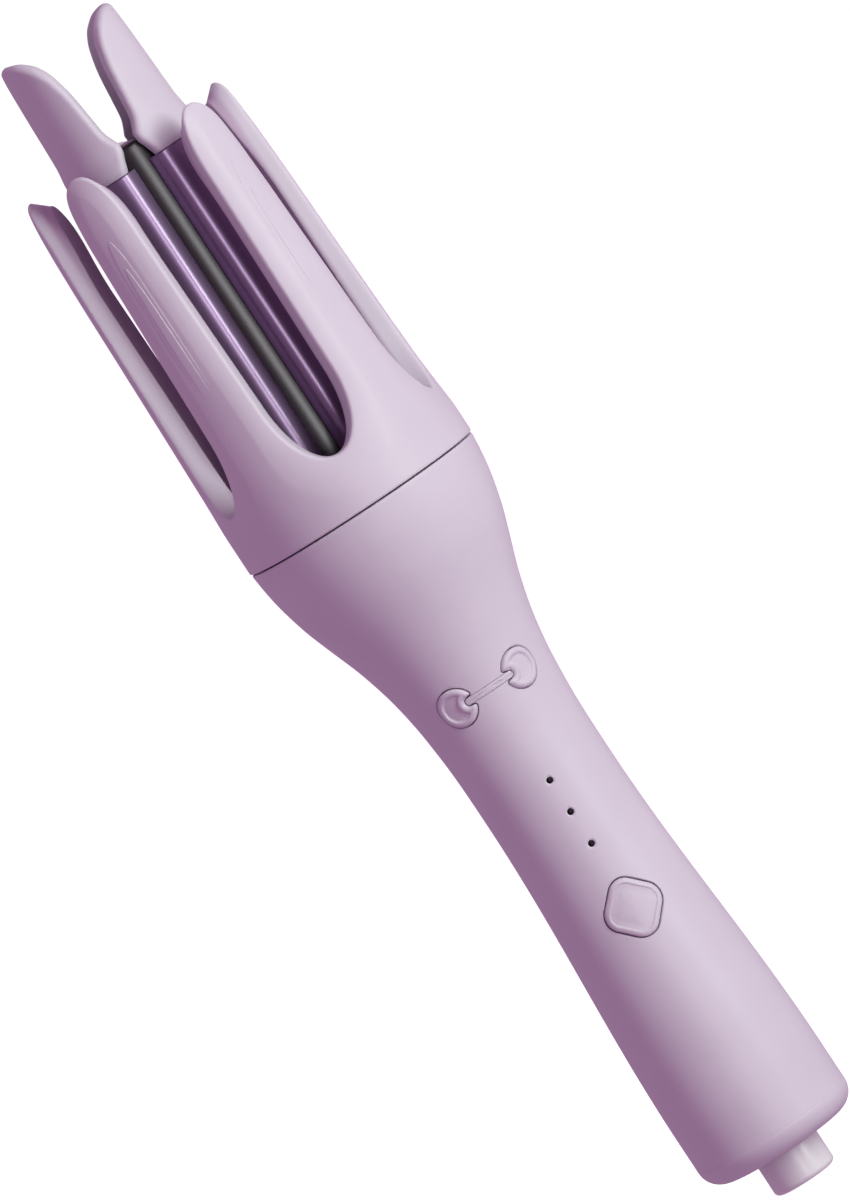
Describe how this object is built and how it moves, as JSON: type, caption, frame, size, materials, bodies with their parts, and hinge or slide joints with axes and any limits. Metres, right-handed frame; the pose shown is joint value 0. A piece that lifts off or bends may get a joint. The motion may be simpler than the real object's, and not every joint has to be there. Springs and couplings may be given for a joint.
{
  "type": "automatic hair curler",
  "caption": "Hand-held automatic hair curler: tapered handle with buttons, slotted petal cage and a motor-turned heated barrel ending in two hollow ears.",
  "frame": {"origin": "centre of the lower face of the cord gland, at the lowest point of the part", "axes": "+Z along the axis from the cord gland to the ears, -Y towards the face with the buttons, +X to the right seen from that face"},
  "size_m": [0.0662, 0.0662, 0.3428],
  "materials": {
    "lilac_shell": "satin lilac moulded plastic",
    "lilac_trim": "satin lilac moulded plastic",
    "mauve_heat_plastic": "heat-resistant satin plastic",
    "purple_barrel": "glossy metallic purple coating",
    "black_core": "glossy black heat-resistant plastic",
    "pearl_gland": "pale translucent plastic",
    "smoked_window": "dark smoked light guide",
    "circuit_board": "solder-masked laminate",
    "black_component": "moulded component body",
    "green_terminal": "moulded terminal housing",
    "led_lens": "clear lens",
    "structural_plastic": "glass-filled dark plastic",
    "white_gear": "acetal",
    "brass": "machined brass",
    "steel": "bright steel",
    "carbon": "pressed carbon",
    "heater_alloy": "plain foil-wrapped heater"
  },
  "bodies": {
    "handle": {"brush_holder": "black_component", "button_board": "circuit_board", "cage_liner": "mauve_heat_plastic", "carbon_brushes": "carbon", "choke_coil": "black_component", "controller_chip": "black_component", "direction_bar": "lilac_trim", "end_cap": "lilac_shell", "frame_screws": "steel", "gear_frame": "structural_plastic", "handle_front_shell": "lilac_shell", "handle_rear_shell": "lilac_shell", "head_plate": "structural_plastic", "led_chips": "led_lens", "led_windows": "smoked_window", "locking_ring": "structural_plastic", "lower_bush": "brass", "main_board": "circuit_board", "main_capacitor": "black_component", "motor": "steel", "petal_cage": "lilac_shell", "shell_screws": "steel", "tact_switches": "black_component", "terminal_block": "green_terminal", "upper_bush": "brass"},
    "barrel": {"drive_shaft": "steel", "driven_gear": "white_gear", "slip_ring_hub": "structural_plastic", "slip_rings": "brass", "barrel_collar": "black_core", "barrel_core": "black_core", "barrel_lobe_left": "purple_barrel", "barrel_lobe_right": "purple_barrel", "ptc_heater_left": "heater_alloy", "ptc_heater_right": "heater_alloy", "thermistor": "heater_alloy", "core_cap": "black_core", "ear_pins": "steel", "ear_left": "mauve_heat_plastic", "ear_right": "mauve_heat_plastic"},
    "pinion": {"motor_pinion": "brass"},
    "power_button": {"power_button": "lilac_trim"},
    "direction_button_left": {"direction_button_left": "lilac_trim"},
    "direction_button_right": {"direction_button_right": "lilac_trim"},
    "cord_swivel": {"cord_swivel": "pearl_gland"}
  },
  "joints": [
    {"name": "barrel_spin", "type": "hinge", "parent": "handle", "child": "barrel", "pos_m": [0, 0, 0.2], "axis": [0, 0, 1], "continuous": true},
    {"name": "pinion_spin", "type": "hinge", "parent": "handle", "child": "pinion", "pos_m": [0.0139, 0, 0.191], "axis": [0, 0, 1], "continuous": true},
    {"name": "power_press", "type": "slide", "parent": "handle", "child": "power_button", "axis": [0, 1, 0], "range_m": [0, 0.0008], "stiffness_N_per_m": 300},
    {"name": "left_press", "type": "slide", "parent": "handle", "child": "direction_button_left", "axis": [0.4848, 0.8746, 0], "range_m": [0, 0.0006], "stiffness_N_per_m": 300},
    {"name": "right_press", "type": "slide", "parent": "handle", "child": "direction_button_right", "axis": [-0.4848, 0.8746, 0], "range_m": [0, 0.0006], "stiffness_N_per_m": 300},
    {"name": "cord_turn", "type": "hinge", "parent": "handle", "child": "cord_swivel", "pos_m": [0, 0, 0.01], "axis": [0, 0, 1], "continuous": true}
  ],
  "couplings": [
    {"joint": "pinion_spin", "follows": "barrel_spin", "ratio": -2.8333}
  ]
}
